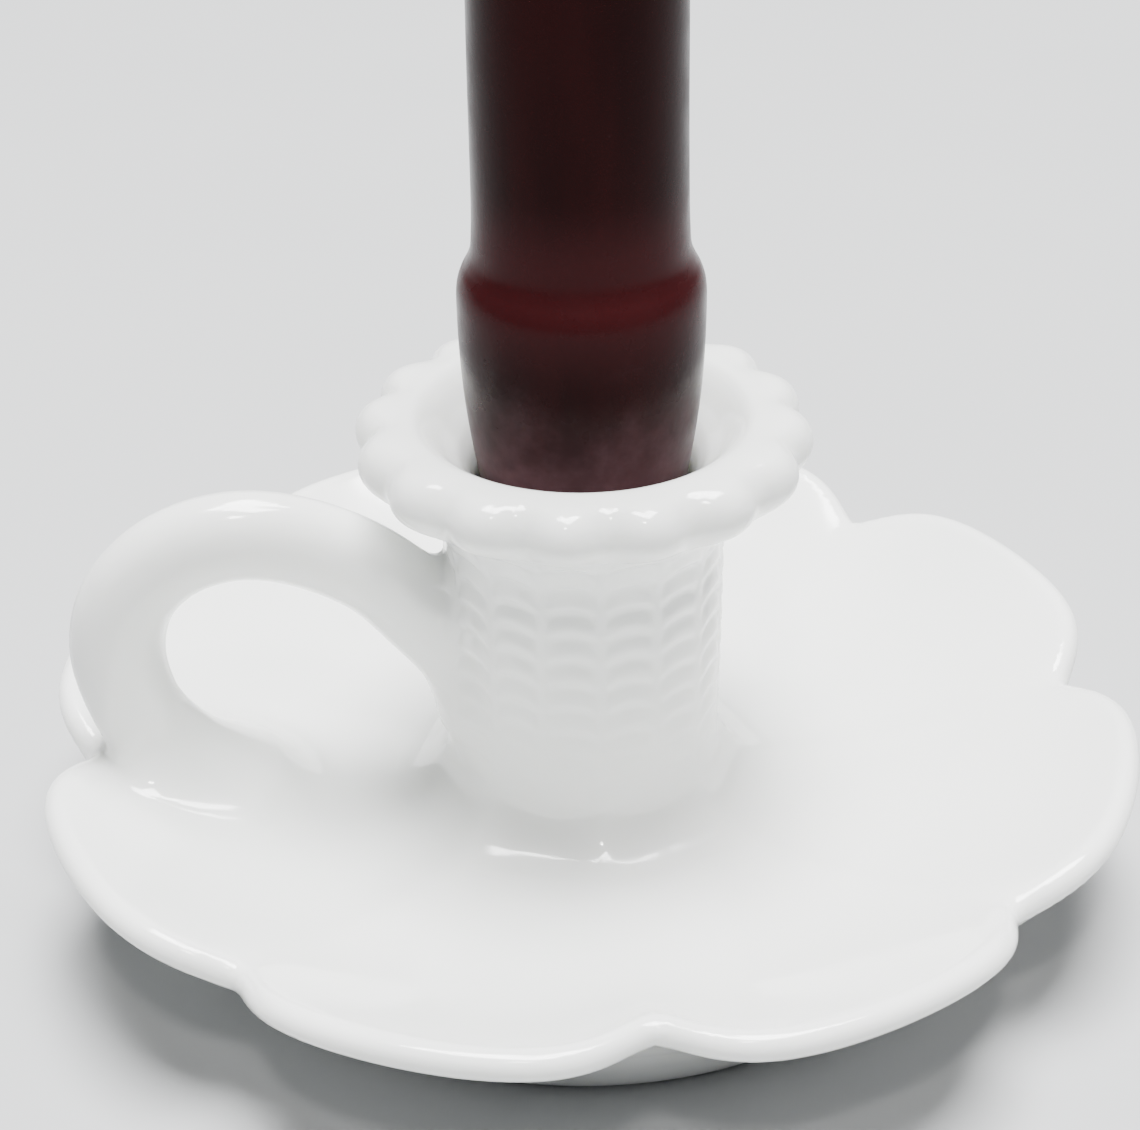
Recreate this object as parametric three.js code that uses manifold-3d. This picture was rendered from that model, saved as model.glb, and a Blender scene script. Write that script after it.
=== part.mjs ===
// A pressed milk-glass chamberstick with its candle. A scalloped saucer stands on a foot ring and
// carries a candle socket with a lobed rim and a finger loop. A self-fitting taper candle on a
// cotton wick wedges in the socket's throat and lifts straight out.
// Millimetres, +Z up. The origin is the centre of the foot's underside, and the loop is on -X.

import * as THREE from 'three';
import { mergeVertices } from 'three/addons/utils/BufferGeometryUtils.js';
import ManifoldModule from 'manifold-3d';

// ---- Driving dimensions ----

// Saucer: its rolled lip is highest and widest round the broad petals, and dips in the narrow
// rounded notches between them, except for the nearly level ones in front and behind. The notch
// half-width is in degrees.
const petalCount = 8;
const petalRadius = 61.4;
const petalLipHeight = 21.1;
const lipThickness = 3.2;
const notchDepth = 5.3;
const notchDip = 3.5;
const levelNotchDip = 0.2;
const notchHalfWidth = 6.2;
const floorHeight = 10.5;
const floorThickness = 4.5;
const floorFlatRadius = 25;

// Foot ring, under the saucer
const footRadius = 42;
const footRingWidth = 4;
const footFlare = 2.5;
const footEdgeRounding = 0.8;

// Candle socket: a waisted column, with a fillet at its base and a flare under its rim
const socketRadius = 14.8;
const socketBaseSpread = 4.2;
const socketBaseFillet = 8;
const socketFlareHeight = 9.5;
const socketTopRadius = 19.4;
const cupDepth = 25;
const cupTaper = 0.04;

// Rim: a rolled collar of lobes round the throat
const rimLobeCount = 16;
const rimBaseHeight = 50;
const rimHeight = 6.9;
const rimLobeRadius = 24.4;
const rimLobeDepth = 1.9;
const rimRoll = 3.15;
const rimCrestRadius = 17.4;
const throatRadius = 11.4;

// Finger loop. Its height is that of its centre line at the top, above the saucer's floor, and its
// inset is how far its centre line stays in from the lip's inner side in a notch.
const loopHeight = 33.7;
const loopInset = 1.7;
const loopThickness = 10;
const loopWidth = 8.2;
const loopRootFlare = 3;
const loopRootLength = 16;

// Candle: a shaft on a thicker shoulder, which tapers down to fit the throat
const candleLength = 254;
const candleShoulderRadius = 12.9;
const candleShoulderHeight = 21;
const candleShoulderBand = 8.6;
const candleShaftRadius = 11.2;
const candleTopRadius = 7.6;
const candleTipHeight = 14;
const candleTipRadius = 2.2;
const candleEndDepth = 8;
const candleEndTaper = 0.15;

// Wick
const wickRadius = 0.9;
const wickExposedLength = 8;

// Clearances: between the candle and the throat, and at cut or sleeved surfaces
const throatClearance = 0.2;
const surfaceGap = 0.3;

// ---- Turned shapes with a pattern round them ----

const polar = (radius, height, follow = 0) => ({ radius, height, follow });

// Points on an arc from one angle to another, in degrees from straight out, counter-clockwise.
function arc(centreRadius, centreHeight, size, from, to, steps, follow = 0) {
  return Array.from({ length: steps + 1 }, (_, i) => {
    const angle = THREE.MathUtils.degToRad(from + (to - from) * i / steps);
    return polar(centreRadius + size * Math.cos(angle), centreHeight + size * Math.sin(angle), follow);
  });
}

// Turns a profile about +Z. place(point, angle) gives a point's [radius, height] at that angle,
// counted from -Y towards +X. A profile runs counter-clockwise, with the radius to the right.
function turned(profile, segments, place = ({ radius, height }) => [radius, height]) {
  const outline = profile.map(({ radius, height }) => new THREE.Vector2(radius, height));
  const geometry = new THREE.LatheGeometry(outline, segments);
  const position = geometry.attributes.position;
  for (let i = 0; i < position.count; i += 1) {
    const angle = 2 * Math.PI * Math.floor(i / profile.length) / segments;
    const [radius, height] = place(profile[i % profile.length], angle);
    position.setXYZ(i, radius * Math.sin(angle), -radius * Math.cos(angle), height);
  }
  geometry.computeVertexNormals();
  return geometry;
}

const petalSegments = 12 * petalCount;
const rimSegments = 6 * rimLobeCount;

// ---- Saucer and foot ring ----

const footHeight = floorHeight - floorThickness;
const footTopRadius = footRadius + footFlare;
const lipHalf = lipThickness / 2;
const lipCentreRadius = petalRadius - lipHalf;
const lipCentreHeight = petalLipHeight - lipHalf;
const lipSlope = 31;

// A point of the saucer is drawn in and down towards a notch by as much as it follows the petals.
function placeOnPetals({ radius, height, follow }, angle) {
  const pitch = 360 / petalCount;
  const turn = THREE.MathUtils.radToDeg(angle) % pitch;
  const fromNotch = Math.min(turn, pitch - turn);
  const pull = follow * Math.exp(-((fromNotch / notchHalfWidth) ** 1.45));
  const inLine = Math.abs(Math.cos(angle)) > Math.cos(Math.PI / petalCount);
  const dip = inLine ? levelNotchDip : notchDip;
  return [radius - pull * notchDepth, height - pull * follow * dip];
}

// The dish's upper surface, from the lip in to the axis, raised by a gap where one is given.
function dishTop(gap = 0) {
  const lipInner = lipCentreRadius - lipHalf * Math.sin(THREE.MathUtils.degToRad(lipSlope));
  const run = lipInner - floorFlatRadius;
  const points = [0.87, 0.72, 0.56, 0.38, 0.2, 0].map((share) => {
    const rise = share ** 2 * (lipCentreHeight + lipHalf - floorHeight - 0.2);
    return polar(floorFlatRadius + share * run, floorHeight + rise + gap, share ** 2);
  });
  return [...points, polar(0, floorHeight + gap)];
}

function saucerGeometry() {
  const lip = arc(lipCentreRadius, lipCentreHeight, lipHalf, lipSlope - 90, lipSlope + 90, 5, 1);
  const underside = [
    polar(0, footHeight),
    polar(footTopRadius, footHeight),
    polar(footTopRadius + 2.2, footHeight + 2.6, 0.1),
    polar(footTopRadius + 7, footHeight + 6.2, 0.42),
  ];
  return turned([...underside, ...lip, ...dishTop()], petalSegments, placeOnPetals);
}

function footRingGeometry() {
  const inner = footRadius - footRingWidth;
  const profile = [
    polar(inner, footEdgeRounding),
    polar(inner + footEdgeRounding, 0),
    polar(footRadius - footEdgeRounding, 0),
    polar(footRadius, footEdgeRounding),
    polar(footTopRadius, footHeight),
    polar(inner - footFlare / 2, footHeight),
    polar(inner, footEdgeRounding),
  ];
  return turned(profile, petalSegments);
}

// ---- Socket and rim ----

const socketWaistHeight = rimBaseHeight - socketFlareHeight;
const rimTopHeight = rimBaseHeight + rimHeight;
const cupFloorHeight = rimBaseHeight - cupDepth;
const cupFloorRadius = throatRadius - cupTaper * cupDepth;
const cupEdgeRounding = 1.5;

// The socket's outer wall from its base up, grown by a gap where one is given.
function socketWall(gap = 0) {
  const fillet = [0, 0.2, 0.45, 0.7, 1].map((share) => {
    const spread = socketBaseSpread * (1 - share) ** 2.4;
    return polar(socketRadius + spread + gap, floorHeight + 0.3 + share * socketBaseFillet);
  });
  const flare = [0, 0.3, 0.55, 0.78, 1].map((share) => {
    const spread = (socketTopRadius - socketRadius) * share ** 2.2;
    return polar(socketRadius + spread + gap, socketWaistHeight + share * socketFlareHeight);
  });
  return [...fillet, ...flare];
}

function socketGeometry() {
  const profile = [
    polar(0, floorHeight),
    polar(socketRadius + socketBaseSpread, floorHeight),
    ...socketWall(),
    polar(throatRadius, rimBaseHeight),
    polar(cupFloorRadius, cupFloorHeight + cupEdgeRounding),
    polar(cupFloorRadius - cupEdgeRounding, cupFloorHeight),
    polar(0, cupFloorHeight),
  ];
  return turned(profile, rimSegments);
}

// The collar's lobes stand out round its roll and leave the throat round.
function placeOnLobes({ radius, height, follow }, angle) {
  const groove = 1 - Math.abs(Math.sin(rimLobeCount * angle / 2)) ** 0.7;
  return [radius - follow * rimLobeDepth * groove, height];
}

function rimGeometry() {
  const profile = [
    polar(throatRadius, rimBaseHeight),
    polar(socketTopRadius, rimBaseHeight),
    ...arc(rimLobeRadius - rimRoll, rimTopHeight - rimRoll, rimRoll, -65, 90, 6, 1),
    polar(rimCrestRadius + 1, rimTopHeight, 0.4),
    polar(rimCrestRadius, rimTopHeight - 0.3),
    polar(throatRadius + 3.4, rimTopHeight - 2.6),
    polar(throatRadius + 0.9, rimBaseHeight + 1.4),
    polar(throatRadius, rimBaseHeight),
  ];
  return turned(profile, rimSegments, placeOnLobes);
}

// ---- Finger loop ----

const wasm = await ManifoldModule();
wasm.setup();

function toSolid(geometry) {
  const bare = geometry.clone();
  bare.deleteAttribute('normal');
  bare.deleteAttribute('uv');
  const merged = mergeVertices(bare);
  return new wasm.Manifold(new wasm.Mesh({
    numProp: 3,
    vertProperties: new Float32Array(merged.attributes.position.array),
    triVerts: new Uint32Array(merged.index.array),
  }));
}

function fromSolid(solid) {
  const mesh = solid.getMesh();
  const geometry = new THREE.BufferGeometry();
  geometry.setAttribute('position', new THREE.BufferAttribute(mesh.vertProperties, 3));
  geometry.setIndex(new THREE.BufferAttribute(mesh.triVerts, 1));
  geometry.computeVertexNormals();
  return geometry;
}

// The loop's centre line. Each pair is a share of the way out from the socket's wall to the lip's
// inner side in a notch, and a share of the loop's height above the floor.
function loopCurve() {
  const reach = petalRadius - notchDepth - lipThickness - loopInset - socketRadius;
  const route = [
    [-0.13, 0.53], [0.06, 0.68], [0.25, 0.86], [0.45, 0.97], [0.64, 1], [0.82, 0.94],
    [0.95, 0.8], [1, 0.61], [0.97, 0.4], [0.89, 0.19], [0.8, 0],
  ];
  return new THREE.CatmullRomCurve3(route.map(([out, up]) => (
    new THREE.Vector3(-socketRadius - out * reach, 0, floorHeight + up * loopHeight)
  )));
}

// A rod of oval section bent along the centre line, thicker towards both roots.
function loopRod() {
  const curve = loopCurve();
  const length = curve.getLength();
  const geometry = new THREE.CylinderGeometry(1, 1, 1, 14, 34);
  const position = geometry.attributes.position;
  const across = new THREE.Vector3(0, 1, 0);
  for (let i = 0; i < position.count; i += 1) {
    const share = position.getY(i) + 0.5;
    const toRoot = Math.min(share, 1 - share) * length / loopRootLength;
    const flare = loopRootFlare * Math.max(0, 1 - toRoot) ** 2;
    const tangent = curve.getTangentAt(share);
    const outward = new THREE.Vector3().crossVectors(tangent, across);
    const point = curve.getPointAt(share)
      .addScaledVector(outward, position.getX(i) * (loopThickness / 2 + flare))
      .addScaledVector(across, position.getZ(i) * (loopWidth / 2 + flare / 3));
    position.setXYZ(i, point.x, point.y, point.z);
  }
  return geometry;
}

// The rod's ends are cut off a small gap short of the socket's wall and the dish.
function loopGeometry() {
  const below = -1;
  const lip = arc(lipCentreRadius, lipCentreHeight, lipHalf + surfaceGap, 0, lipSlope + 90, 4, 1);
  const dish = turned([
    polar(0, below),
    polar(lipCentreRadius + lipHalf + surfaceGap, below, 1),
    ...lip,
    ...dishTop(surfaceGap),
  ], petalSegments, placeOnPetals);
  const column = turned([
    polar(0, below),
    polar(socketRadius + socketBaseSpread + surfaceGap, below),
    ...socketWall(surfaceGap),
    polar(0, rimBaseHeight),
  ], rimSegments);
  return fromSolid(toSolid(loopRod()).subtract(toSolid(dish)).subtract(toSolid(column)));
}

// ---- Candle and wick ----

const candleBottom = rimBaseHeight - candleEndDepth;
const candleTop = candleBottom + candleLength;
const wickHoleRadius = wickRadius + surfaceGap;

function candleGeometry() {
  const seatRadius = throatRadius - throatClearance;
  const shoulder = rimBaseHeight + candleShoulderHeight;
  const profile = [
    polar(wickHoleRadius, candleBottom),
    polar(seatRadius - candleEndTaper * candleEndDepth, candleBottom),
    polar(seatRadius, rimBaseHeight),
    polar(seatRadius + (candleShoulderRadius - seatRadius) * 0.78, shoulder - candleShoulderBand * 1.25),
    polar(candleShoulderRadius, shoulder - candleShoulderBand / 2),
    polar(candleShoulderRadius - 0.1, shoulder),
    polar(candleShaftRadius + 0.5, shoulder + 3),
    polar(candleShaftRadius, shoulder + 5),
    polar(candleTopRadius, candleTop - candleTipHeight),
    polar(candleTopRadius * 0.72, candleTop - candleTipHeight * 0.38),
    polar(candleTipRadius, candleTop),
    polar(wickHoleRadius, candleTop),
    polar(wickHoleRadius, candleBottom),
  ];
  return turned(profile, 32);
}

function wickGeometry() {
  const profile = [
    polar(0, candleBottom + surfaceGap),
    polar(wickRadius, candleBottom + surfaceGap),
    polar(wickRadius, candleTop + wickExposedLength),
    polar(0, candleTop + wickExposedLength),
  ];
  return turned(profile, 12);
}

// ---- Assembly ----

const glassFinish = { color: 0xf1f2ee, roughness: 0.12, metalness: 0 };
const waxFinish = { color: 0x4a0d10, roughness: 0.42, metalness: 0 };
const cottonFinish = { color: 0xe9e2cf, roughness: 0.9, metalness: 0 };

function piece(name, geometry, finish) {
  const mesh = new THREE.Mesh(geometry, new THREE.MeshStandardMaterial(finish));
  mesh.name = name;
  return mesh;
}

const group = new THREE.Group();
group.add(
  piece('foot_ring', footRingGeometry(), glassFinish),
  piece('saucer', saucerGeometry(), glassFinish),
  piece('candle_socket', socketGeometry(), glassFinish),
  piece('rim_collar', rimGeometry(), glassFinish),
  piece('finger_loop', loopGeometry(), glassFinish),
  piece('candle', candleGeometry(), waxFinish),
  piece('wick', wickGeometry(), cottonFinish),
);

export default group;
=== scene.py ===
"""Looks of the milk-glass chamberstick with its candle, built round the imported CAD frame.

The pressed glass is one continuous skin: a field in millimetres, negative inside the glass, is made
from a turned profile and a bent finger loop, and its zero level is meshed. Petals, rim lobes and the
socket's scales are patterns that bend the profile. The candle is turned, and its wick is laid up from
three strands. Angles round the axis count from -Y towards +X.
"""

import math

import bpy
import numpy as np
from mathutils import Matrix, Vector


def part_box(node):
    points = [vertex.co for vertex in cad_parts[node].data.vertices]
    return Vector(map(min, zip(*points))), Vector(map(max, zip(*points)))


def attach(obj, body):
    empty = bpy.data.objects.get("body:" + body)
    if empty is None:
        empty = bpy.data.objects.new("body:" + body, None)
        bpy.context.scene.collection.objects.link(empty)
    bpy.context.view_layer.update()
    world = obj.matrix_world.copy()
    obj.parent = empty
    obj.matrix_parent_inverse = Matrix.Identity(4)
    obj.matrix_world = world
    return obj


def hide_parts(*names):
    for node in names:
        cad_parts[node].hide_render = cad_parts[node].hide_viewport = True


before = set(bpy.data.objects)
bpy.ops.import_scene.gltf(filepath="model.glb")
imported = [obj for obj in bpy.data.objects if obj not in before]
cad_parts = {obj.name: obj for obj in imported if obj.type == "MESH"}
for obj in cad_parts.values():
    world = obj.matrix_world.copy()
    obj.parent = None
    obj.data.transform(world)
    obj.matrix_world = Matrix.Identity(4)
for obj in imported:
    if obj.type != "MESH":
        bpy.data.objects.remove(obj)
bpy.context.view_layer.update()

MM = 0.001


def level(node, corner):
    """The height of a CAD node's underside (corner 0) or top (corner 1), in millimetres."""
    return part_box(node)[corner].z / MM


# ---- Sizes, in millimetres and radians. The main heights come from the frame. ----

DISH_FLOOR = level("candle_socket", 0)
RECESS_CEILING = level("foot_ring", 1)
LIP_TOP = level("saucer", 1)
RIM_BASE = level("rim_collar", 0)
RIM_TOP = level("rim_collar", 1)
CANDLE_END = level("candle", 0)
CANDLE_TOP = level("candle", 1)
WICK_TOP = level("wick", 1)

PETALS = 8
PETAL_RADIUS = 61.3
NOTCH_DEPTH = 5.3
NOTCH_DIP = 3.5
LEVEL_NOTCH_DIP = 0.2
NOTCH_HALF_WIDTH = math.radians(6.2)
LIP_HALF = 1.6
LIP_SLOPE_DEGREES = 31
FLAT_RADIUS = 25
FOOT_RADIUS = 42
FOOT_WIDTH = 4

SOCKET_RADIUS = 14.8
SOCKET_SPREAD = 6
SOCKET_FILLET = 8
FLARE_HEIGHT = 9.5
SOCKET_TOP_RADIUS = 19.4
CUP_DEPTH = 25
CUP_FLOOR_RADIUS = 10.4

# along each notch line the fillet spreads further, and a faint ridge runs out from it
CUSP_SPREAD = 1.1
CUSP_HALF_WIDTH = 0.2
RIDGE_HEIGHT = 0.2
RIDGE_HALF_WIDTH = 2.4

LOBES = 16
RIM_RADIUS = 24.4
RIM_ROLL = 3.15
LOBE_DEPTH = 1.75
GROOVE_DROP = 0.45
GROOVE_HALF_WIDTH = 0.075
GROOVE_ROUND = 0.035
THROAT_RADIUS = 11.4

SCALE_COLUMNS = 15
SCALE_PITCH = 3.1
SCALE_ARCH = 2.3
SCALE_RELIEF = 0.38
SCALE_TOP = 46.9
SCALE_RIB = 0.7

# the heights or radii over which each pattern fades in, and for most the ones where it fades out
PETAL_HEIGHTS = (5, 12), (26, 32)
CUSP_RADII = (13.6, 15.2), (21, 26)
CUSP_HEIGHTS = (8, 10), (11.5, 19)
RIDGE_RADII = (17, 23), (34, 50)
RIDGE_HEIGHTS = (8, 10.5), (20, 24)
SCALE_RADII = (12.9, 14), (20, 22)
SCALE_FADE_IN, SCALE_FADE_OUT = (15, 43), (47.5, 49.5)
GROOVE_RADII = (17.5, 22.5)
GROOVE_HEIGHTS = (RIM_BASE - 0.6, RIM_BASE + 1.6)

# the finger loop is an oval rod that thickens over its roots and ends sunk in the glass
LOOP_HEIGHT = 33.7
LOOP_HALF_THICK = 5.0
LOOP_HALF_WIDE = 4.1
LOOP_TO_LIP = 1.65
LOOP_ROOT = 17
LOOP_FLARE = 4.2
LOOP_FLARE_SIDE = (-4, 5)
LOOP_FOOT_SPREAD = 3
LOOP_SUNK = 1.8
LOOP_END_ROUND = 1.5
MOULD_SEAM = 0.16

# widths of the loop's fillets: on the socket, in the dish, and where it meets the lip
UPPER_FILLET = 3
ROOT_FILLET = 7.5
LIP_FILLET = 2.5

# above its foot the candle tapers up to a rounded tip
CANDLE_FOOT_HEIGHT = 58
CANDLE_RADIUS = 10.8
TIP_RADIUS = 7.6
TIP_LENGTH = 16
TIP_FLAT = 1.5

STRANDS = 3
STRAND_RADIUS = 0.44
LAY_RADIUS = 0.42
LAY_PITCH = 3.2
WICK_LEAN = 1.5
BRAID_SUNK = 4
CORE_RADIUS = 0.8

CAMERA_PLACE = (-24.7, -226.0, 175.28)
CAMERA_HEADING = math.radians(5.84)
CAMERA_PITCH = math.radians(31.19)
CAMERA_ROLL = math.radians(-0.91)
LENS = 76.89
SENSOR_WIDTH = 36

# the floor's half width, and the height on the axis that the lamps face
FLOOR_REACH = 15000
LAMP_AIM = 30


# ---- Small formulas ----

def ease(value, low, high):
    """0 below low, 1 above high, and a smooth step between."""
    share = np.clip((value - low) / (high - low), 0, 1)
    return share * share * (3 - 2 * share)


def window(value, fade_in, fade_out):
    """1 between two smooth steps: up over the first pair of values and down over the second."""
    return ease(value, *fade_in) * (1 - ease(value, *fade_out))


def hump(distance, half_width, power):
    """1 at distance 0, falling away past the half width. A higher power gives steeper sides."""
    return np.exp(-(distance / half_width) ** power)


def from_line(count, angle):
    """The angle to the nearest of a number of lines spaced evenly round the axis, one at angle 0."""
    pitch = 2 * np.pi / count
    return np.abs((angle + pitch / 2) % pitch - pitch / 2)


def blended(a, b, width):
    """The union of two fields, with a fillet of about that width where they meet."""
    mix = np.clip(0.5 + 0.5 * (b - a) / width, 0, 1)
    return b + (a - b) * mix - width * mix * (1 - mix)


def smooth_line(route, per_span):
    """A Catmull-Rom curve through a route's points."""
    route = np.asarray(route, float)
    ends = np.vstack([2 * route[0] - route[1], route, 2 * route[-1] - route[-2]])
    spans = []
    for a, b, c, d in zip(ends, ends[1:], ends[2:], ends[3:]):
        t = np.linspace(0, 1, per_span, endpoint=False)[:, None]
        spans.append(0.5 * (2 * b + (c - a) * t + (2 * a - 5 * b + 4 * c - d) * t ** 2
                            + (3 * b - a - 3 * c + d) * t ** 3))
    return np.vstack([*spans, route[-1:]])


def arc(centre, size, start, end, count):
    """Points on an arc between two angles in degrees, counted from straight out."""
    turn = np.radians(np.linspace(start, end, count + 1))
    return np.stack([centre[0] + size * np.cos(turn), centre[1] + size * np.sin(turn)], -1)


# ---- The glass: its turned profile ----

# the section runs past the axis, so that none of its own edges lies there
PAST_AXIS = -5
LIP_CENTRE = (PETAL_RADIUS - LIP_HALF, LIP_TOP - LIP_HALF)
LIP_ROLL_DROP = 0.2
LIP_INNER = LIP_CENTRE[0] - LIP_HALF * math.sin(math.radians(LIP_SLOPE_DEGREES))


def up_the_dish(radius):
    """0 on the dish's flat middle and 1 where it meets the lip."""
    return np.clip((radius - FLAT_RADIUS) / (LIP_INNER - FLAT_RADIUS), 0, 1)


def dish_height(radius):
    """The dish's upper surface at the middle of a petal."""
    return DISH_FLOOR + up_the_dish(radius) ** 2 * (LIP_TOP - LIP_ROLL_DROP - DISH_FLOOR)


def underside_section():
    """From the axis out: the recess's ceiling, the foot ring and the outside of the bowl."""
    inner = FOOT_RADIUS - FOOT_WIDTH
    return [
        (PAST_AXIS, RECESS_CEILING), (inner - 3.2, RECESS_CEILING), (inner - 1.9, RECESS_CEILING - 0.5),
        (inner - 1.1, RECESS_CEILING - 1.7), (inner, 1.0), (inner + 0.25, 0.35), (inner + 0.9, 0),
        (FOOT_RADIUS - 0.9, 0), (FOOT_RADIUS - 0.25, 0.3), (FOOT_RADIUS, 0.9), (FOOT_RADIUS + 0.7, 3),
        (FOOT_RADIUS + 2, RECESS_CEILING), (FOOT_RADIUS + 3.8, 8.2), (FOOT_RADIUS + 6.6, 10.4),
        (FOOT_RADIUS + 10.6, 13.1), (FOOT_RADIUS + 14.2, 15.7),
    ]


def dish_section():
    """Round the rolled lip and in along the dish."""
    lip = arc(LIP_CENTRE, LIP_HALF, LIP_SLOPE_DEGREES - 90, LIP_SLOPE_DEGREES + 90, 14)
    radii = np.linspace(LIP_INNER, FLAT_RADIUS, 24)[1:]
    return np.vstack([lip, np.stack([radii, dish_height(radii)], -1)])


def socket_section():
    """Up the outside of the socket, from its fillet through its flare and round the rim's roll."""
    share = np.linspace(0, 1, 14)
    fillet = np.stack([
        SOCKET_RADIUS + SOCKET_SPREAD * (1 - share) ** 3.2,
        DISH_FLOOR + SOCKET_FILLET * share ** 1.15,
    ], -1)
    flare = np.stack([
        SOCKET_RADIUS + (SOCKET_TOP_RADIUS - SOCKET_RADIUS) * share ** 2.2,
        RIM_BASE - FLARE_HEIGHT * (1 - share),
    ], -1)
    roll = arc((RIM_RADIUS - RIM_ROLL, RIM_TOP - RIM_ROLL), RIM_ROLL, -72, 90, 20)
    return np.vstack([fillet, flare, roll])


def cup_section():
    """From the rim's top down through the throat to the cup's floor."""
    floor = RIM_BASE - CUP_DEPTH
    return [
        (18.5, RIM_TOP), (17.8, RIM_TOP - 0.15), (17.1, RIM_TOP - 0.6), (16.2, RIM_TOP - 1.5),
        (14.8, RIM_TOP - 3.2), (13.3, RIM_BASE + 2.3), (12.2, RIM_BASE + 0.8),
        (THROAT_RADIUS + 0.15, RIM_BASE - 0.8), (THROAT_RADIUS - 0.05, RIM_BASE - 2.5),
        (CUP_FLOOR_RADIUS, floor + 1.6), (CUP_FLOOR_RADIUS - 0.45, floor + 0.5),
        (CUP_FLOOR_RADIUS - 1.5, floor), (PAST_AXIS, floor),
    ]


def distance_table(outline, radii, heights):
    """Signed distance to a closed outline on a grid of radii and heights, negative inside."""
    r, z = np.meshgrid(radii, heights, indexing="ij")
    nearest = np.full(r.shape, 1e9)
    inside = np.zeros(r.shape, bool)
    for (r0, z0), (r1, z1) in zip(outline, np.roll(outline, -1, axis=0)):
        dr, dz = r1 - r0, z1 - z0
        share = np.clip(((r - r0) * dr + (z - z0) * dz) / (dr * dr + dz * dz + 1e-12), 0, 1)
        nearest = np.minimum(nearest, (r - r0 - share * dr) ** 2 + (z - z0 - share * dz) ** 2)
        if z0 != z1:
            crosses = (z0 > z) != (z1 > z)
            inside ^= crosses & (r < r0 + (z - z0) * dr / dz)
    return np.where(inside, -1, 1) * np.sqrt(nearest)


GLASS_PROFILE = np.vstack([underside_section(), dish_section(), socket_section(), cup_section()])
TABLE_STEP = 0.125
TABLE_RADII = np.arange(-2, 72, TABLE_STEP)
TABLE_HEIGHTS = np.arange(-4, 64, TABLE_STEP)
TABLE = distance_table(GLASS_PROFILE, TABLE_RADII, TABLE_HEIGHTS)


def profile_distance(radius, height):
    """The profile's signed distance, read from its table."""
    r = np.clip((radius - TABLE_RADII[0]) / TABLE_STEP, 0, len(TABLE_RADII) - 1.001)
    z = np.clip((height - TABLE_HEIGHTS[0]) / TABLE_STEP, 0, len(TABLE_HEIGHTS) - 1.001)
    i, j = r.astype(int), z.astype(int)
    u, v = r - i, z - j
    low = TABLE[i, j] * (1 - v) + TABLE[i, j + 1] * v
    high = TABLE[i + 1, j] * (1 - v) + TABLE[i + 1, j + 1] * v
    return low * (1 - u) + high * u


# ---- The glass: the patterns that bend its profile ----

def drawn_in(radius, angle, height):
    """The radius of the plain profile's point that the notches draw in to this one, and how far
    they pull it down."""
    notch = hump(from_line(PETALS, angle), NOTCH_HALF_WIDTH, 1.45)
    in_dish = window(height, *PETAL_HEIGHTS)
    plain = radius
    # the pull depends on the plain radius, so it is found in a few rounds
    for _ in range(6):
        reach = up_the_dish(plain) ** 2 * in_dish
        plain = radius + notch * NOTCH_DEPTH * reach
    # the notches in front and behind hardly dip
    in_line = np.abs(np.cos(angle)) > math.cos(math.pi / PETALS)
    return plain, notch * np.where(in_line, LEVEL_NOTCH_DIP, NOTCH_DIP) * reach ** 2


def notch_ridge(radius, angle, height):
    """The height of the faint soft ridge along each notch line."""
    ridge = RIDGE_HEIGHT * hump(radius * from_line(PETALS, angle), RIDGE_HALF_WIDTH, 2)
    return ridge * window(radius, *RIDGE_RADII) * window(height, *RIDGE_HEIGHTS)


def fillet_cusp(radius, angle, height):
    """How much further the socket's fillet spreads along the notch lines."""
    cusp = CUSP_SPREAD * hump(from_line(PETALS, angle), CUSP_HALF_WIDTH, 1.6)
    return cusp * window(radius, *CUSP_RADII) * window(height, *CUSP_HEIGHTS)


def rim_groove(radius, angle, height):
    """0 on the rim's lobes and about 1 between them, where some grooves are deeper than others."""
    off_groove = np.hypot(from_line(LOBES, angle), GROOVE_ROUND) - GROOVE_ROUND
    groove = hump(off_groove, GROOVE_HALF_WIDTH, 1.4) * (0.88 + 0.12 * np.cos(3 * angle))
    return groove * ease(radius, *GROOVE_RADII) * ease(height, *GROOVE_HEIGHTS)


def scale_relief(angle, height):
    """How far the socket's rows of arched scales stand out of its wall: each row swells downwards and
    steps back in over the arched tops of the next, and ribs part its columns."""
    column = angle * SCALE_COLUMNS / (2 * np.pi)
    across = np.clip(2 * np.abs(column - np.floor(column) - 0.5), 0, 1)
    arch = SCALE_ARCH * (1 - np.sqrt(1 - 0.94 * across ** 2))
    rows_down = (SCALE_TOP - arch - height) / SCALE_PITCH
    share = rows_down % 1.0
    swell = np.where(rows_down < 0, 1, ease(share, -0.1, 0.7)) * (1 - ease(share, 0.74, 1.0))
    rib = SCALE_RIB * hump(1 - across, 0.2, 2)
    shown = ease(height, *SCALE_FADE_IN) ** 0.4 * (1 - ease(height, *SCALE_FADE_OUT))
    return SCALE_RELIEF * np.maximum(swell * (1 - across ** 6), rib) * shown


def unbent(radius, angle, height, scaled=True):
    """The radius and height of the profile's point that a point of the patterned glass stands for,
    with the socket's scales or without."""
    plain, drop = drawn_in(radius, angle, height)
    groove = rim_groove(radius, angle, height)
    plain = plain + LOBE_DEPTH * groove - fillet_cusp(radius, angle, height)
    if scaled:
        plain = plain - scale_relief(angle, height) * window(radius, *SCALE_RADII)
    return plain, height + drop - notch_ridge(radius, angle, height) + GROOVE_DROP * groove


# ---- The glass: the finger loop ----

# shares of the way out from the socket's wall and of the loop's height above the dish's floor
LOOP_ROUTE = [
    (-0.13, 0.53), (0.06, 0.68), (0.25, 0.86), (0.45, 0.97), (0.64, 1), (0.82, 0.94),
    (0.95, 0.8), (1, 0.61), (0.97, 0.4), (0.88, 0.19), (0.77, 0),
]


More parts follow.
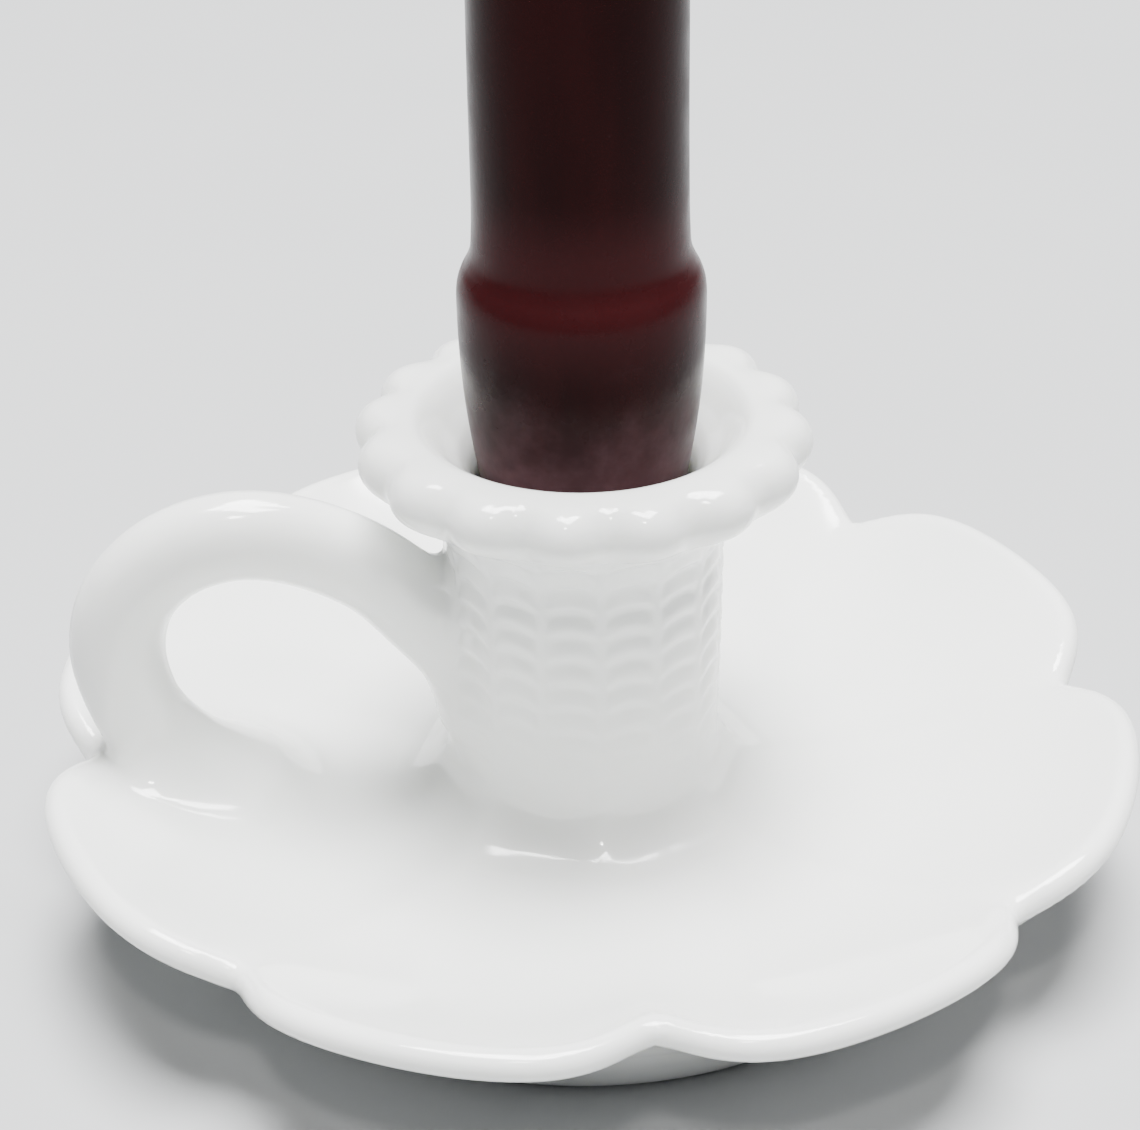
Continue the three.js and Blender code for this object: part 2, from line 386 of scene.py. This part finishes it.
def loop_line(samples=180):
    """The loop's centre line, as evenly spaced distances out from the axis and heights, and each
    sample's length along it."""
    reach = PETAL_RADIUS - NOTCH_DEPTH - 2 * LIP_HALF - LOOP_TO_LIP - SOCKET_RADIUS
    route = [(SOCKET_RADIUS + out * reach, DISH_FLOOR + up * LOOP_HEIGHT) for out, up in LOOP_ROUTE]
    line = smooth_line(route, 40)
    along = np.concatenate([[0], np.cumsum(np.linalg.norm(np.diff(line, axis=0), axis=1))])
    even = np.linspace(0, along[-1], samples)
    return np.stack([np.interp(even, along, line[:, k]) for k in (0, 1)], -1), even


LOOP_LINE, LOOP_ALONG = loop_line()
LOOP_TANGENT = np.gradient(LOOP_LINE, LOOP_ALONG, axis=0)


def nearest_sample(out, up):
    """The number of the loop line's nearest sample to each point."""
    nearest = np.full(out.shape, 1e9)
    index = np.zeros(out.shape, int)
    for k, (line_out, line_up) in enumerate(LOOP_LINE):
        square = (out - line_out) ** 2 + (up - line_up) ** 2
        closer = square < nearest
        nearest[closer] = square[closer]
        index[closer] = k
    return index


def loop_distance(x, y, z, plain_radius, plain_height):
    """Distance to the loop's oval rod, which thickens at both roots on the side of the hole. It ends
    inside the socket's wall and the dish, whose bent shape the plain radius and height follow."""
    index = nearest_sample(-x, z)
    d_out, d_up = -x - LOOP_LINE[index, 0], z - LOOP_LINE[index, 1]
    t_out, t_up = LOOP_TANGENT[index, 0], LOOP_TANGENT[index, 1]
    # the nearest place on the line lies a little before or after the nearest sample
    slip = np.clip(d_out * t_out + d_up * t_up, -0.4, 0.4)
    across = np.hypot(d_out - slip * t_out, d_up - slip * t_up)
    along = LOOP_ALONG[index] + slip
    to_foot = LOOP_ALONG[-1] - along
    to_hole = d_out * t_up - d_up * t_out
    near_root = np.clip(1 - np.minimum(along, to_foot) / LOOP_ROOT, 0, 1)
    near_foot = np.clip(1 - to_foot / LOOP_ROOT, 0, 1)
    flare = LOOP_FLARE * near_root ** 2 * ease(to_hole, *LOOP_FLARE_SIDE)
    thick = LOOP_HALF_THICK + flare
    wide = LOOP_HALF_WIDE + flare / 3 + LOOP_FOOT_SPREAD * near_foot ** 2
    first = np.hypot(across / thick, y / wide)
    second = np.hypot(across / thick ** 2, y / wide ** 2) + 1e-9
    # the two halves of the mould meet in a faint raised seam round the loop
    rod = first * (first - 1) / second - MOULD_SEAM * hump(y, 0.5, 2)
    past_wall = (SOCKET_RADIUS + CUP_FLOOR_RADIUS) / 2 - np.hypot(x, y)
    past_dish = dish_height(plain_radius) - LOOP_SUNK - plain_height
    past_lip = np.minimum(plain_radius - LIP_CENTRE[0], LIP_TOP + 1 - plain_height)
    ends = np.maximum.reduce([past_wall, past_dish, past_lip])
    return -blended(-rod, -ends, LOOP_END_ROUND)


def glass_field(x, y, z, scaled=True):
    """The whole pressing: negative inside the glass. The arguments are flat arrays in millimetres."""
    radius, angle = np.hypot(x, y), np.arctan2(x, -y)
    plain_radius, plain_height = unbent(radius, angle, z, scaled)
    field = profile_distance(plain_radius, plain_height)
    # the loop is worked out only where it can reach
    at = (x < -8) & (np.abs(y) < 14) & (z > 5)
    loop = loop_distance(x[at], y[at], z[at], plain_radius[at], plain_height[at])
    # the fillet is wide at the lower root, except where the loop meets the lip, and narrow at the top
    low = 1 - ease(z[at], LIP_TOP - 3, LIP_TOP + 9)
    inner = 1 - ease(radius[at], 49, 55)
    lower_fillet = LIP_FILLET + (ROOT_FILLET - LIP_FILLET) * inner
    field[at] = blended(field[at], loop, UPPER_FILLET + (lower_fillet - UPPER_FILLET) * low)
    return field


# ---- Meshing a field on a grid of angles, radii and heights ----

CUBE_CORNERS = [(a, b, c) for a in (0, 1) for b in (0, 1) for c in (0, 1)]


def steps(start, *stretches):
    """Grid values from a start, through stretches of (end, step)."""
    values = [start]
    for end, step in stretches:
        count = max(1, round((end - values[-1]) / step))
        values.extend(np.linspace(values[-1], end, count + 1)[1:])
    return np.array(values)


def crossed_cells(inside):
    """The cells of a grid that the surface passes through, and each cell's number among them."""
    turns, rings, layers = (n - 1 for n in inside.shape)
    count = sum(inside[a:turns + a, b:rings + b, c:layers + c].astype(np.int8)
                for a, b, c in CUBE_CORNERS)
    cells = np.argwhere((count > 0) & (count < 8))
    number = np.full(count.shape, -1)
    number[tuple(cells.T)] = np.arange(len(cells))
    return cells, number


def crossing_means(field, cells):
    """The mean of the places in each cell where its edges cross the surface."""
    total, crossings = np.zeros((len(cells), 3)), np.zeros(len(cells))
    for start in CUBE_CORNERS:
        for axis in range(3):
            if start[axis]:
                continue
            end = tuple(1 if k == axis else s for k, s in enumerate(start))
            v0 = field[tuple((cells + start).T)]
            v1 = field[tuple((cells + end).T)]
            crosses = (v0 < 0) != (v1 < 0)
            place = np.tile(np.array(start, float), (len(cells), 1))
            place[:, axis] = np.where(crosses, v0 / np.where(crosses, v0 - v1, 1), 0)
            total += place * crosses[:, None]
            crossings += crosses
    return total / crossings[:, None]


def crossed_quads(inside, number):
    """A quad round each grid edge that crosses the surface, facing out. The first axis is closed."""
    turns, rings, layers = number.shape[0], inside.shape[1], inside.shape[2]
    quads = []
    for axis in range(3):
        p, q = (axis + 1) % 3, (axis + 2) % 3
        size = [turns, rings, layers]
        size[axis] -= 0 if axis == 0 else 1
        edge = np.indices(size).reshape(3, -1).T
        for k, last in ((1, rings - 1), (2, layers - 1)):
            if k != axis:
                edge = edge[(edge[:, k] > 0) & (edge[:, k] < last)]
        ahead = edge.copy()
        ahead[:, axis] += 1
        first, second = inside[tuple(edge.T)], inside[tuple(ahead.T)]
        edge, first = edge[first != second], first[first != second]
        ring = []
        for back_p, back_q in ((-1, -1), (0, -1), (0, 0), (-1, 0)):
            cell = edge.copy()
            cell[:, p] += back_p
            cell[:, q] += back_q
            cell[:, 0] %= turns
            ring.append(number[tuple(cell.T)])
        quad = np.stack(ring, -1)
        # angle, radius and height are a left-handed set, so outward quads run the other way round
        quad[first] = quad[first][:, ::-1]
        quads.append(quad)
    return np.vstack(quads)


def surface_net(field, angles, radii, heights):
    """The field's zero level: its points as (angle, radius, height), its quads, and the number of the
    point in each cell, or -1."""
    wrapped = np.concatenate([field, field[:1]])
    inside = wrapped < 0
    cells, number = crossed_cells(inside)
    place = cells + crossing_means(wrapped, cells)
    points = np.stack([
        angles[0] + place[:, 0] * (angles[1] - angles[0]),
        np.interp(place[:, 1], np.arange(len(radii)), radii),
        np.interp(place[:, 2], np.arange(len(heights)), heights),
    ], -1)
    return points, crossed_quads(inside, number), number


def settle(points, rounds=3, reach=0.35, probe=0.02):
    """Moves points onto the field's zero level, along its slope."""
    for _ in range(rounds):
        here = glass_field(*points.T)
        slope = np.stack([
            (glass_field(*(points + probe * np.eye(3)[k]).T) - here) / probe for k in range(3)
        ], -1)
        move = -here[:, None] * slope / np.maximum((slope ** 2).sum(1), 0.2)[:, None]
        length = np.linalg.norm(move, axis=1, keepdims=True)
        points = points + move * np.minimum(1, reach / np.maximum(length, 1e-9))
    return points


def lowest_cells(number):
    """The first surface point up from below in the innermost ring of cells, at each angle."""
    inner = number[:, 0, :]
    return inner[np.arange(len(inner)), (inner >= 0).argmax(axis=1)]


def highest_cells(number):
    """The surface point of the cup's floor in the innermost ring of cells, at each angle."""
    return number[:, 0, :].max(axis=1)


GLASS_TURNS = 240
GLASS_RADII = steps(0.6, (8.6, 2.0), (13.6, 0.9), (25.3, 0.62), (36, 1.3), (50, 1.15), (64, 0.64))
GLASS_HEIGHTS = steps(-0.9, (6.3, 0.9), (15.6, 0.68), (48.3, 0.47), (58.8, 0.55))


def glass_mesh():
    """The pressing's vertices, in millimetres, and faces."""
    angles = (np.arange(GLASS_TURNS) - 0.5) * 2 * np.pi / GLASS_TURNS
    a, r, z = np.meshgrid(angles, GLASS_RADII, GLASS_HEIGHTS, indexing="ij")
    x, y = r * np.sin(a), -r * np.cos(a)
    # the grid is too coarse for the scales: they come when the points settle
    field = glass_field(x.ravel(), y.ravel(), z.ravel(), scaled=False).reshape(a.shape)
    polar, quads, number = surface_net(field, angles, GLASS_RADII, GLASS_HEIGHTS)
    points = settle(np.stack([
        polar[:, 1] * np.sin(polar[:, 0]), -polar[:, 1] * np.cos(polar[:, 0]), polar[:, 2],
    ], -1))
    # the grid starts just off the axis: a fan closes the cup's floor and the recess's ceiling
    faces = [tuple(q) for q in quads]
    centres = []
    for ring, up in ((highest_cells(number), True), (lowest_cells(number), False)):
        centre = len(points) + len(centres)
        centres.append((0, 0, points[ring, 2].mean()))
        for here, beside in zip(ring, np.roll(ring, -1)):
            faces.append((here, beside, centre) if up else (beside, here, centre))
    return np.vstack([points, centres]), faces


def add_mesh(name, points, faces, material):
    """A smooth-shaded mesh object from points in millimetres."""
    mesh = bpy.data.meshes.new(name)
    mesh.from_pydata((np.asarray(points) * MM).tolist(), [], [tuple(map(int, f)) for f in faces])
    mesh.validate()
    mesh.polygons.foreach_set("use_smooth", [True] * len(mesh.polygons))
    mesh.materials.append(material)
    mesh.update()
    piece = bpy.data.objects.new(name, mesh)
    bpy.context.scene.collection.objects.link(piece)
    return piece


# ---- Materials ----

def new_material(name, **values):
    """A node material whose one shader has these socket values. Returns it and the shader."""
    material = bpy.data.materials.new(name)
    material.use_nodes = True
    shader = material.node_tree.nodes["Principled BSDF"]
    for socket, value in values.items():
        shader.inputs[socket.replace("_", " ")].default_value = value
    return material, shader


class Graph:
    """Short calls for building a material's nodes. Places are in metres, in the object's own frame."""

    def __init__(self, material):
        self.tree = material.node_tree
        self.place = self.tree.nodes.new("ShaderNodeTexCoord").outputs["Object"]

    def put(self, value, socket):
        """Links another node's output to a socket, or sets the socket to a plain value."""
        if hasattr(value, "is_output"):
            self.tree.links.new(value, socket)
        else:
            socket.default_value = value

    def feed(self, node, inputs):
        """Puts a value on each of these inputs."""
        for key, value in inputs.items():
            self.put(value, node.inputs[key])

    def noise(self, size_mm, detail=3.0, roughness=0.5, stretch=(1, 1, 1)):
        """Noise from 0 to 1 whose features are about this size, and longer where stretch is small."""
        mapping = self.tree.nodes.new("ShaderNodeMapping")
        self.feed(mapping, {"Vector": self.place, "Scale": stretch})
        node = self.tree.nodes.new("ShaderNodeTexNoise")
        self.feed(node, {"Vector": mapping.outputs["Vector"], "Scale": 1000 / size_mm,
                         "Detail": detail, "Roughness": roughness})
        return node.outputs["Fac"]

    def specks(self, spacing_mm, size):
        """1 on sparse round specks, 0 elsewhere."""
        node = self.tree.nodes.new("ShaderNodeTexVoronoi")
        self.feed(node, {"Vector": self.place, "Scale": 1000 / spacing_mm})
        return self.ramp(node.outputs["Distance"], size * 0.6, size, low=1, high=0)

    def height_mm(self):
        """The height above the floor at rest."""
        node = self.tree.nodes.new("ShaderNodeSeparateXYZ")
        self.put(self.place, node.inputs[0])
        return self.calc("MULTIPLY", node.outputs["Z"], 1000)

    def calc(self, operation, a, b):
        """The result of one arithmetic step."""
        node = self.tree.nodes.new("ShaderNodeMath")
        node.operation = operation
        self.feed(node, {0: a, 1: b})
        return node.outputs[0]

    def ramp(self, value, start, end, low=0.0, high=1.0):
        """A smooth step from low, where the value is at start, to high, where it is at end."""
        node = self.tree.nodes.new("ShaderNodeMapRange")
        node.interpolation_type = "SMOOTHSTEP"
        self.feed(node, {"Value": value, "From Min": start, "From Max": end,
                         "To Min": low, "To Max": high})
        return node.outputs["Result"]

    def mix(self, share, a, b):
        """Colour a where the share is 0 and b where it is 1."""
        node = self.tree.nodes.new("ShaderNodeMix")
        node.data_type = "RGBA"
        for socket, value in zip([s for s in node.inputs if s.enabled], (share, a, b)):
            self.put(value, socket)
        return next(s for s in node.outputs if s.enabled)

    def bump(self, height, depth_mm, shader, normal=None):
        """Gives the shader a relief, on top of an earlier one's normal."""
        node = self.tree.nodes.new("ShaderNodeBump")
        self.feed(node, {"Height": height, "Distance": depth_mm * MM, "Strength": 1.0})
        if normal is not None:
            self.put(normal, node.inputs["Normal"])
        self.put(node.outputs["Normal"], shader.inputs["Normal"])
        return node.outputs["Normal"]


def milk_glass():
    """Opaque white pressed glass: fire-polished, faintly wavy, with a few dark inclusions."""
    greenish = (0.80, 0.815, 0.80, 1)
    white = (0.86, 0.865, 0.85, 1)
    inclusion = (0.10, 0.085, 0.07, 1)
    material, shader = new_material(
        "milk_glass", IOR=1.5, Subsurface_Weight=0.45, Subsurface_Radius=(1.0, 1.0, 0.9),
        Subsurface_Scale=0.004, Coat_Weight=0.25, Coat_Roughness=0.04)
    g = Graph(material)
    tone = g.mix(g.ramp(g.noise(34, 2.0), 0.3, 0.7), greenish, white)
    tone = g.mix(g.calc("MULTIPLY", g.specks(21, 0.012), 0.8), tone, inclusion)
    g.put(tone, shader.inputs["Base Color"])
    g.put(g.ramp(g.noise(7, 3.0), 0.3, 0.75, 0.09, 0.19), shader.inputs["Roughness"])
    waves = g.bump(g.noise(6.5, 1.0), 0.06, shader)
    g.bump(g.noise(0.9, 2.0), 0.006, shader, waves)
    return material


def candle_wax():
    """Dark red paraffin with a dusty bloom on its end, handling scuffs, a soft sheen and painted light
    on its shoulder.
    """
    dark = (0.010, 0.0007, 0.0009, 1)
    red = (0.016, 0.0013, 0.0015, 1)
    bloom = (0.088, 0.044, 0.051, 1)
    # a brighter red, painted on the shoulder as the light that falls on it from above
    painted_light_red = (0.040, 0.0085, 0.0098, 1)
    scuffed = (0.07, 0.03, 0.03, 1)
    material, shader = new_material(
        "candle_wax", IOR=1.44, Specular_IOR_Level=0.07, Subsurface_Weight=0.12,
        Subsurface_Radius=(1.0, 0.15, 0.12), Subsurface_Scale=0.003)
    g = Graph(material)
    up = g.calc("SUBTRACT", g.height_mm(), CANDLE_END)
    streaks = g.ramp(g.noise(9, 3.0, 0.6, (1, 1, 0.16)), 0.35, 0.7)
    tone = g.mix(streaks, dark, red)
    # the bloom is thickest at the candle's end and thins out in patches above its shoulder
    patches = g.ramp(g.noise(6, 4.0, 0.6), 0.4, 0.8, -0.12, 0.16)
    dust = g.calc("ADD", g.ramp(up, 8, 28, 0.62, 0.0), patches)
    dust = g.calc("MULTIPLY", g.ramp(dust, 0, 1), g.ramp(up, 24, 38, 1, 0.35))
    tone = g.mix(dust, tone, bloom)
    # painted light: the shoulder faces up to the lamps, so a band round it is painted a brighter red
    # than the shaft
    painted_shoulder_light = g.calc("MULTIPLY", g.ramp(up, 22, 31), g.ramp(up, 35, 43, 0.65, 0))
    tone = g.mix(painted_shoulder_light, tone, painted_light_red)
    scuffs = g.ramp(g.noise(3.2, 5.0, 0.7), 0.66, 0.8)
    tone = g.mix(g.calc("MULTIPLY", scuffs, 0.3), tone, scuffed)
    g.put(tone, shader.inputs["Base Color"])
    rough = g.calc("ADD", g.ramp(g.noise(5, 4.0), 0.3, 0.7, 0.2, 0.33), g.calc("MULTIPLY", dust, 0.25))
    g.put(rough, shader.inputs["Roughness"])
    broad = g.bump(g.noise(12, 2.0, 0.5, (1, 1, 0.3)), 0.08, shader)
    g.bump(g.noise(0.8, 3.0), 0.014, shader, broad)
    return material


def wick_cotton():
    """Waxed cotton yarn."""
    shaded = (0.62, 0.55, 0.42, 1)
    cream = (0.86, 0.82, 0.72, 1)
    material, shader = new_material("wick_cotton", Sheen_Weight=0.3, Sheen_Roughness=0.5)
    g = Graph(material)
    fibres = g.noise(0.25, 3.0, 0.6, (1, 1, 0.3))
    g.put(g.mix(fibres, shaded, cream), shader.inputs["Base Color"])
    g.put(g.ramp(fibres, 0.2, 0.8, 0.7, 0.95), shader.inputs["Roughness"])
    g.bump(fibres, 0.03, shader)
    return material


def floor_paint():
    """A pale, faintly uneven matt floor."""
    material, shader = new_material("floor", Roughness=0.7)
    g = Graph(material)
    tone = g.mix(g.noise(60, 2.0), (0.40, 0.408, 0.415, 1), (0.43, 0.435, 0.44, 1))
    g.put(tone, shader.inputs["Base Color"])
    return material


# ---- Candle and wick ----

# radii and heights above the candle's end: its edge, its cone, its shoulder and the start of its shaft
CANDLE_EDGE = [(1.0, 0), (9.2, 0), (9.85, 0.35)]
CANDLE_FOOT = [
    (10.05, 1.0), (10.6, 4.5), (11.2, 8), (12.05, 13.5), (12.55, 18.2), (12.82, 22.8), (12.9, 27.2),
    (12.82, 29.4), (12.42, 30.8), (11.8, 32.0), (11.33, 33.3), (11.15, 35.2), (11.0, 40),
    (CANDLE_RADIUS, CANDLE_FOOT_HEIGHT),
]


def turned(section, turns, wobble):
    """Points and quads of a closed section of (radius, height) turned round the axis. wobble(angle,
    height) is added to each radius over 2 mm."""
    angle = np.linspace(0, 2 * np.pi, turns, endpoint=False)[:, None]
    radius, height = section[:, 0][None], section[:, 1][None]
    radius = radius + wobble(angle, height) * (radius > 2)
    points = np.stack([radius * np.sin(angle), -radius * np.cos(angle),
                       np.broadcast_to(height, radius.shape)], -1).reshape(-1, 3)
    rows = len(section)
    i, j = np.meshgrid(np.arange(turns), np.arange(rows), indexing="ij")
    k, m = (i + 1) % turns, (j + 1) % rows
    quads = np.stack([i * rows + j, k * rows + j, k * rows + m, i * rows + m], -1).reshape(-1, 4)
    return points, quads


def hand_wobble(angle, height):
    """The slight unevenness of drawn wax."""
    return (0.07 * np.sin(2 * angle + height / 31) + 0.045 * np.sin(3 * angle - height / 17 + 1)
            + 0.05 * np.sin(height / 9.0 + 2 * np.sin(angle)) * ease(height, 80, 95))


def candle(material):
    """A taper with a conical end, a shoulder and a rounded tip, and a hole for its wick."""
    shaft_end = CANDLE_TOP - CANDLE_END - TIP_LENGTH
    share = np.linspace(0, 1, 60)[1:]
    shaft = np.stack([
        CANDLE_RADIUS - (CANDLE_RADIUS - TIP_RADIUS) * share ** 1.15,
        CANDLE_FOOT_HEIGHT + (shaft_end - CANDLE_FOOT_HEIGHT) * share,
    ], -1)
    turn = np.linspace(0, np.pi / 2, 16)[1:]
    tip = np.stack([
        TIP_FLAT + (TIP_RADIUS - TIP_FLAT) * np.cos(turn) ** 0.85,
        shaft_end + TIP_LENGTH * np.sin(turn),
    ], -1)
    hole = [(1.25, shaft_end + TIP_LENGTH - 0.25), (1.0, shaft_end + TIP_LENGTH - 0.9)]
    section = np.vstack([CANDLE_EDGE, smooth_line(CANDLE_FOOT, 5), shaft, tip, hole])
    section[:, 1] += CANDLE_END
    return add_mesh("candle_wax", *turned(section, 96, hand_wobble), material)


def tube(path, radius, sides):
    """Points and faces of a round rod along a path, with closed ends."""
    path = np.asarray(path, float)
    ahead = np.gradient(path, axis=0)
    ahead /= np.linalg.norm(ahead, axis=1, keepdims=True)
    side = np.cross(ahead, (0, 1, 0.001))
    side /= np.linalg.norm(side, axis=1, keepdims=True)
    other = np.cross(ahead, side)
    turn = np.linspace(0, 2 * np.pi, sides, endpoint=False)[None, :, None]
    rings = path[:, None] + radius * (np.cos(turn) * side[:, None] + np.sin(turn) * other[:, None])
    n = len(path)
    quads = [(i * sides + j, i * sides + (j + 1) % sides, (i + 1) * sides + (j + 1) % sides,
              (i + 1) * sides + j) for i in range(n - 1) for j in range(sides)]
    caps = [tuple(range(sides))[::-1], tuple(range((n - 1) * sides, n * sides))]
    return rings.reshape(-1, 3), quads + caps


def wick(material):
    """Strands laid round one another, standing a little bent out of the wax, on a plain core that
    runs down through the candle."""
    foot = CANDLE_TOP - BRAID_SUNK
    share = np.linspace(0, 1, 90)
    height = foot + (WICK_TOP - 0.4 - foot) * share
    lean = WICK_LEAN * ease(share, 0.35, 1.15)
    rods = []
    for strand in range(STRANDS):
        turn = 2 * np.pi * ((height - foot) / LAY_PITCH + strand / STRANDS)
        path = np.stack([
            LAY_RADIUS * np.cos(turn) + lean, LAY_RADIUS * np.sin(turn) + 0.4 * lean, height,
        ], -1)
        rods.append(tube(path, STRAND_RADIUS, 10))
    core = np.linspace(CANDLE_END + 0.3, foot + 1, 12)
    rods.append(tube(np.stack([0 * core, 0 * core, core], -1), CORE_RADIUS, 12))
    points, faces = [], []
    for made, quads in rods:
        faces += [tuple(v + len(points) for v in q) for q in quads]
        points += made.tolist()
    return add_mesh("wick_braid", points, faces, material)


# ---- Camera, lights and floor ----

def place_camera():
    """A camera in front and a little to the left, looking down at the rim from 31 degrees."""
    level_ahead = Vector((math.sin(CAMERA_HEADING), math.cos(CAMERA_HEADING), 0))
    ahead = level_ahead * math.cos(CAMERA_PITCH) - Vector((0, 0, math.sin(CAMERA_PITCH)))
    across = Vector((math.cos(CAMERA_HEADING), -math.sin(CAMERA_HEADING), 0))
    upward = across.cross(ahead)
    right = across * math.cos(CAMERA_ROLL) + upward * math.sin(CAMERA_ROLL)
    up = upward * math.cos(CAMERA_ROLL) - across * math.sin(CAMERA_ROLL)
    data = bpy.data.cameras.new("camera")
    data.lens, data.sensor_width = LENS, SENSOR_WIDTH
    data.clip_start, data.clip_end = 0.01, 20
    camera = bpy.data.objects.new("camera", data)
    turn = Matrix((right, up, -ahead)).transposed().to_4x4()
    camera.matrix_world = Matrix.Translation(Vector(CAMERA_PLACE) * MM) @ turn
    bpy.context.scene.collection.objects.link(camera)
    bpy.context.scene.camera = camera


def area_light(name, azimuth, elevation, distance, size, power, color=(1, 1, 1)):
    """A soft square lamp that faces the socket, sized and placed in metres. Azimuth 0 is in front, on
    -Y, and grows towards +X."""
    a, e = math.radians(azimuth), math.radians(elevation)
    back = Vector((math.sin(a) * math.cos(e), -math.cos(a) * math.cos(e), math.sin(e)))
    data = bpy.data.lights.new(name, "AREA")
    data.shape, data.size, data.energy, data.color = "SQUARE", size, power, color
    lamp = bpy.data.objects.new(name, data)
    lamp.location = Vector((0, 0, LAMP_AIM * MM)) + back * distance
    lamp.rotation_mode = "QUATERNION"
    lamp.rotation_quaternion = (-back).to_track_quat("-Z", "Y")
    bpy.context.scene.collection.objects.link(lamp)


def studio():
    """A plain pale floor, a broad lamp overhead, a small warm one in front and a dim pale surround."""
    corners = [(x * FLOOR_REACH, y * FLOOR_REACH, 0) for x, y in ((-1, -1), (1, -1), (1, 1), (-1, 1))]
    floor = add_mesh("floor", corners, [(0, 1, 2, 3)], floor_paint())
    area_light("overhead", azimuth=140, elevation=86, distance=1.7, size=0.95, power=155)
    area_light("front", azimuth=-8, elevation=58, distance=1.1, size=0.1, power=3.4,
               color=(1, 0.985, 0.96))
    world = bpy.data.worlds.new("surround")
    world.use_nodes = True
    background = world.node_tree.nodes["Background"]
    background.inputs["Color"].default_value = (0.93, 0.97, 1.0, 1)
    background.inputs["Strength"].default_value = 0.09
    bpy.context.scene.world = world


# ---- Assembly ----

place_camera()
studio()

glass = add_mesh("glass_body", *glass_mesh(), milk_glass())
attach(glass, "chamberstick")
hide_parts("foot_ring", "saucer", "candle_socket", "rim_collar", "finger_loop")

wax = candle(candle_wax())
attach(wax, "candle")
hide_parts("candle")

braid = wick(wick_cotton())
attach(braid, "candle")
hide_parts("wick")
